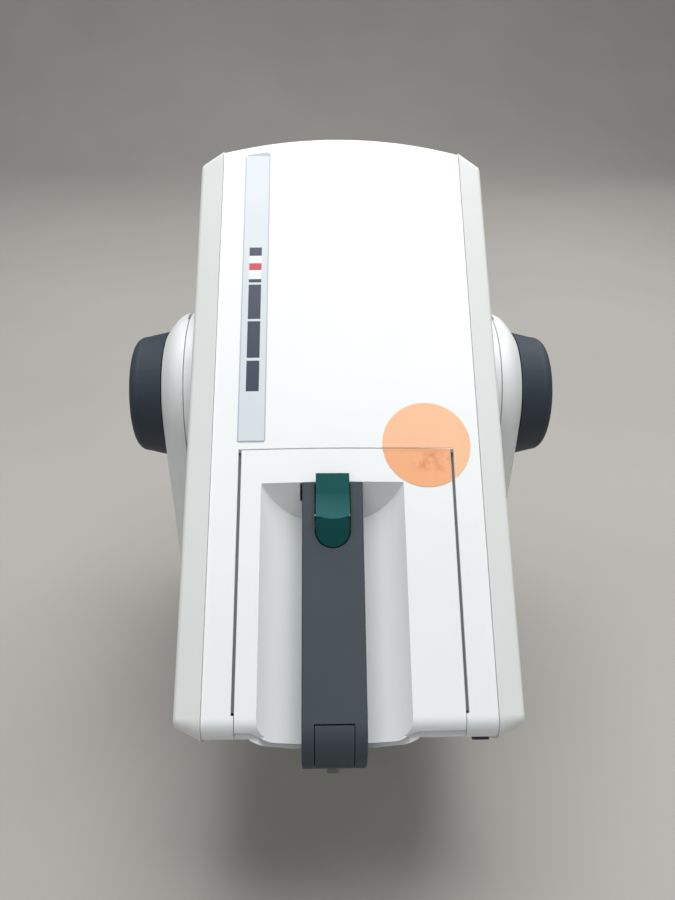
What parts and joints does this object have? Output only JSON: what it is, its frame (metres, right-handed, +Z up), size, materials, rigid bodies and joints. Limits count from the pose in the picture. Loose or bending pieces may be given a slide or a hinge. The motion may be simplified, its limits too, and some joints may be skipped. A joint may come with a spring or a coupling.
{
  "type": "dental impression material mixer",
  "caption": "Countertop automatic mixer for dental impression paste: tilted white housing on a two-arm stand, hinged cartridge flap with handle, side hand wheels, start key.",
  "frame": {"origin": "centre of the bounding box in plan, at the underside of the rubber feet", "axes": "+Z up; the user stands in front, on the -Y side; +X is the user's right"},
  "size_m": [0.279, 0.3537, 0.3738],
  "materials": {
    "white_plastic": "satin",
    "side_plastic": "satin",
    "grey_plastic": "matte",
    "green_plastic": "satin",
    "label_silver": "printed",
    "sticker_paper": "paper",
    "steel": "brushed",
    "sheet_steel": "powder coat",
    "cast_alloy": "as cast",
    "brass": "turned",
    "natural_plastic": "natural",
    "black_plastic": "matte",
    "board_green": "board",
    "rubber": "matte"
  },
  "bodies": {
    "frame": {"top_cover": "white_plastic", "bottom_cover": "white_plastic", "front_panel": "white_plastic", "latch_catch": "steel", "left_side_cover": "side_plastic", "right_side_cover": "side_plastic", "hub_rings": "white_plastic", "side_label": "label_silver", "sticker_upper": "sticker_paper", "front_plug": "grey_plastic", "bottom_cover_screws": "steel", "chassis_plates": "sheet_steel", "front_bulkhead": "sheet_steel", "motor_plate": "sheet_steel", "rack_guides": "natural_plastic", "guide_rail": "sheet_steel", "tie_rods": "steel", "cartridge_cradle": "natural_plastic", "trunnions": "cast_alloy", "axle_bushes": "brass", "flap_hinge_pins": "steel", "shaft_bearings": "steel", "mixer_gearbox": "steel", "mixer_motor": "steel", "feed_gearmotor": "steel", "feed_motor_bracket": "sheet_steel", "control_board": "board_green", "arm_front_covers": "white_plastic", "arm_rear_covers": "white_plastic", "foot_cover": "white_plastic", "steel_base_plate": "sheet_steel", "uprights": "sheet_steel", "rubber_feet": "rubber", "transformer": "sheet_steel", "mains_inlet": "black_plastic", "inlet_pins": "brass", "switch_bezel": "black_plastic"},
    "hand_wheels": {"wheel_axle": "steel", "rack_pinions": "steel", "feed_gear": "natural_plastic", "hand_wheels": "grey_plastic", "wheel_caps": "grey_plastic"},
    "feed_pinion": {"feed_pinion": "brass"},
    "base_ram": {"base_rack": "steel", "base_plunger": "natural_plastic"},
    "catalyst_ram": {"catalyst_rack": "steel", "catalyst_plunger": "natural_plastic"},
    "mixer_shaft": {"mixer_drive_shaft": "steel", "mixer_shaft_gear": "brass"},
    "motor_gear": {"mixer_motor_gear": "natural_plastic"},
    "flap": {"flap": "white_plastic", "flap_hinge_arms": "cast_alloy", "handle_bar": "grey_plastic", "start_switch": "black_plastic", "start_key_pin": "steel", "latch_pin": "steel", "sticker_lower": "sticker_paper"},
    "start_key": {"start_key": "green_plastic"},
    "release_latch": {"release_latch": "grey_plastic"},
    "power_rocker": {"power_rocker": "black_plastic"}
  },
  "joints": [
    {"name": "wheel_spin", "type": "hinge", "parent": "frame", "child": "hand_wheels", "pos_m": [0, 0.05005, 0.2177], "axis": [1, 0, 0], "range_deg": [0, 375]},
    {"name": "feed_pinion_spin", "type": "hinge", "parent": "frame", "child": "feed_pinion", "pos_m": [0.044, 0.04099, 0.18183], "axis": [1, 0, 0], "range_deg": [-1170, 1]},
    {"name": "base_ram_slide", "type": "slide", "parent": "frame", "child": "base_ram", "axis": [0, -0.766, -0.6428], "range_m": [0, 0.118]},
    {"name": "catalyst_ram_slide", "type": "slide", "parent": "frame", "child": "catalyst_ram", "axis": [0, -0.766, -0.6428], "range_m": [0, 0.118]},
    {"name": "mixer_spin", "type": "hinge", "parent": "frame", "child": "mixer_shaft", "pos_m": [-0.0082, 0.04747, 0.26122], "axis": [0, 0.766, 0.6428], "continuous": true},
    {"name": "motor_gear_spin", "type": "hinge", "parent": "frame", "child": "motor_gear", "pos_m": [-0.0022, 0.06768, 0.23715], "axis": [0, 0.766, 0.6428], "continuous": true},
    {"name": "flap_hinge", "type": "hinge", "parent": "frame", "child": "flap", "pos_m": [0, -0.0201, 0.25152], "axis": [-1, 0, 0], "range_deg": [0, 75]},
    {"name": "start_key_press", "type": "hinge", "parent": "flap", "child": "start_key", "pos_m": [-0.0082, -0.07833, 0.20657], "axis": [1, 0, 0], "range_deg": [0, 4], "stiffness_Nm_per_rad": 0.08, "springref_deg": -14.32},
    {"name": "latch_press", "type": "hinge", "parent": "flap", "child": "release_latch", "pos_m": [-0.0082, -0.1716, 0.12622], "axis": [-1, 0, 0], "range_deg": [0, 3], "stiffness_Nm_per_rad": 0.06, "springref_deg": -17.19},
    {"name": "power_switch", "type": "hinge", "parent": "frame", "child": "power_rocker", "pos_m": [0.03, 0.13955, 0.034], "axis": [0, 0, 1], "range_deg": [0, 16]}
  ],
  "couplings": [
    {"joint": "feed_pinion_spin", "follows": "wheel_spin", "ratio": -3.1111},
    {"joint": "base_ram_slide", "follows": "wheel_spin", "m_per_rad": 0.018},
    {"joint": "catalyst_ram_slide", "follows": "wheel_spin", "m_per_rad": 0.018},
    {"joint": "mixer_spin", "follows": "motor_gear_spin", "ratio": -1.6667}
  ]
}
